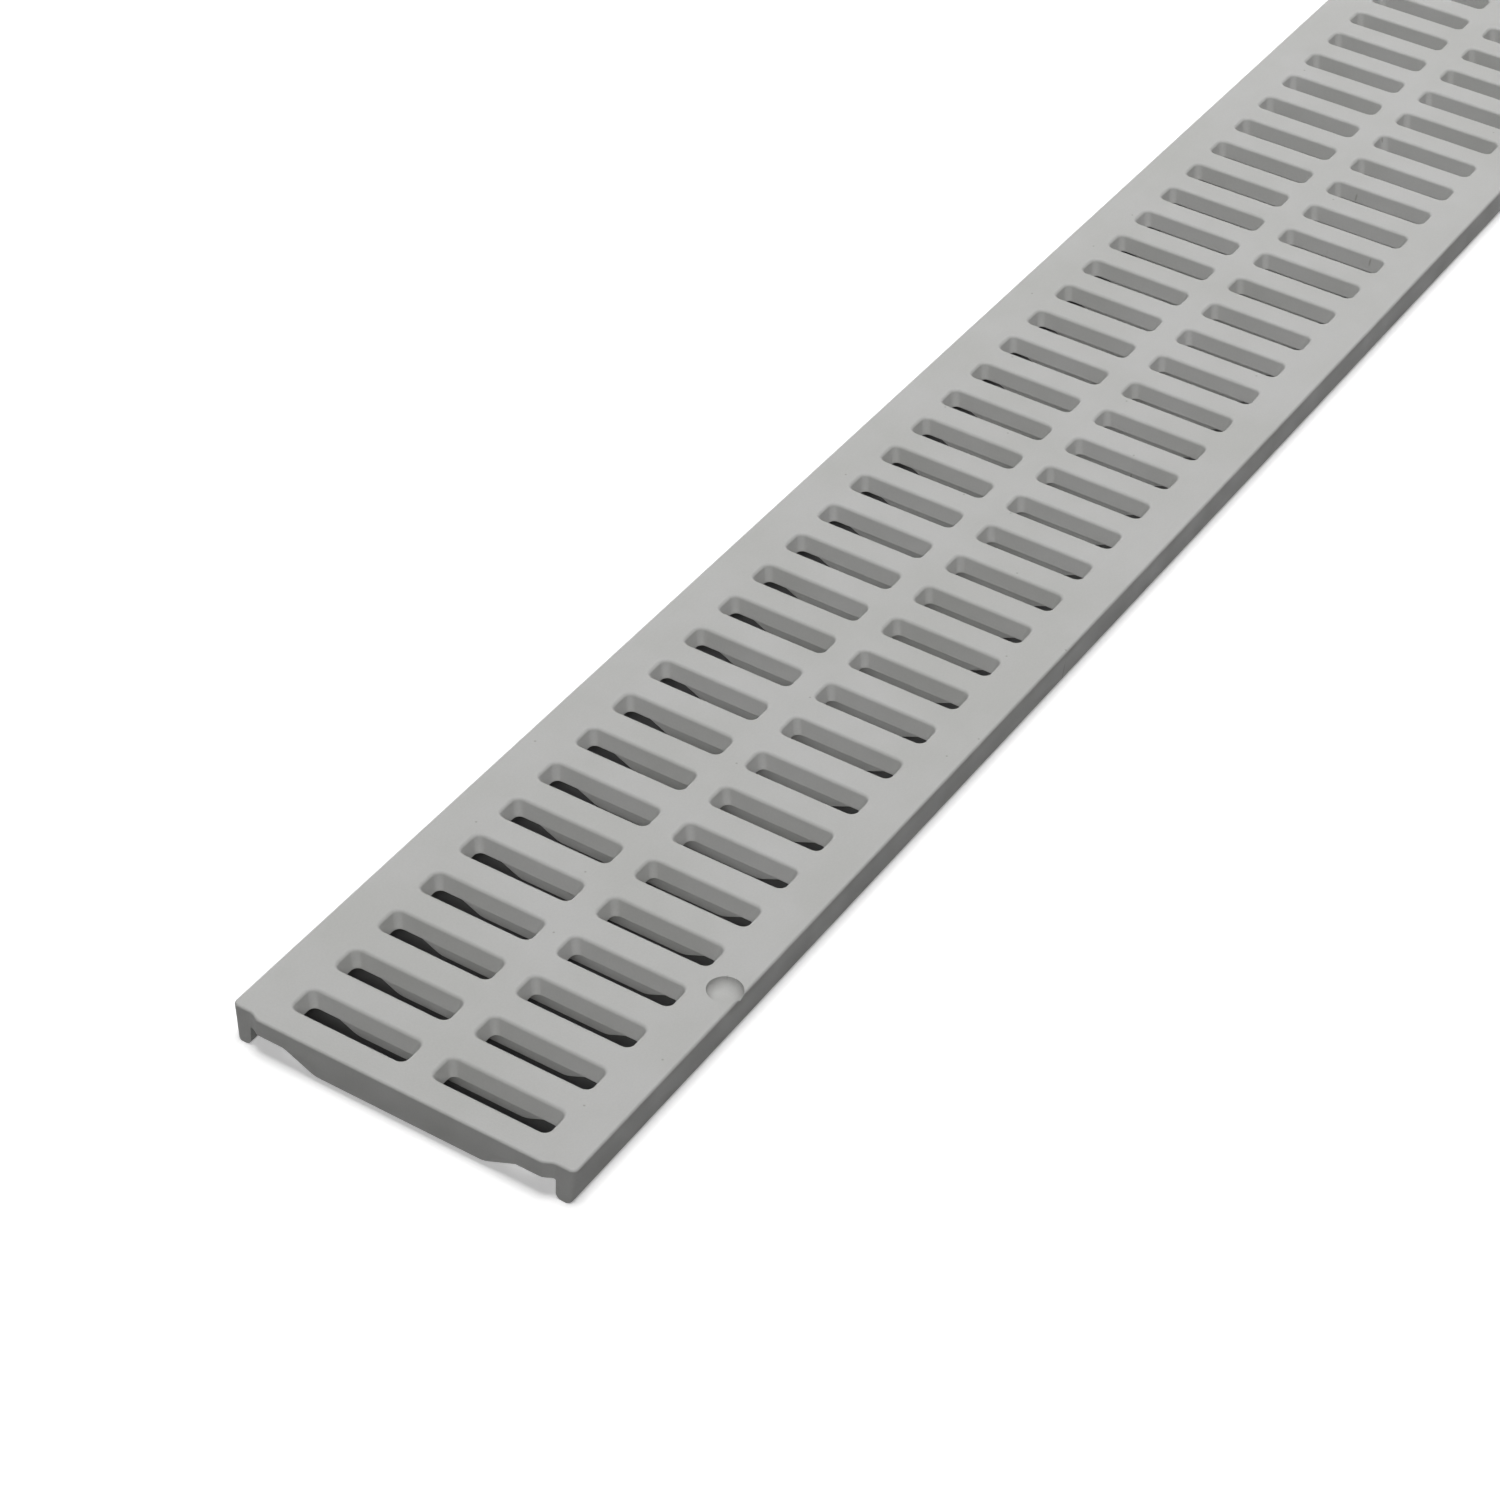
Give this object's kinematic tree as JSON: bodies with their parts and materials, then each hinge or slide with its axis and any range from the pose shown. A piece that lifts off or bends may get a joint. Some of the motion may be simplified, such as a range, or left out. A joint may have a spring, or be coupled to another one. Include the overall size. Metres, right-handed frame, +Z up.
{
  "type": "channel drain grate",
  "caption": "Long narrow plastic channel drain grate: slotted plate on side skirts, with a rib under each crosswise bar and a screw recess by one end.",
  "frame": {"origin": "middle of the grate's footprint, on the plane that the feet of its side skirts stand on", "axes": "+X along the grate, away from the end that has the screw recess near it; +Y across the grate, away from the border with the screw recess; +Z up, out of the walking face"},
  "size_m": [0.9144, 0.073, 0.0084],
  "materials": {
    "grey_plastic": "moulded light grey plastic with a satin matt skin"
  },
  "bodies": {
    "root": {"grate": "grey_plastic"}
  },
  "joints": []
}
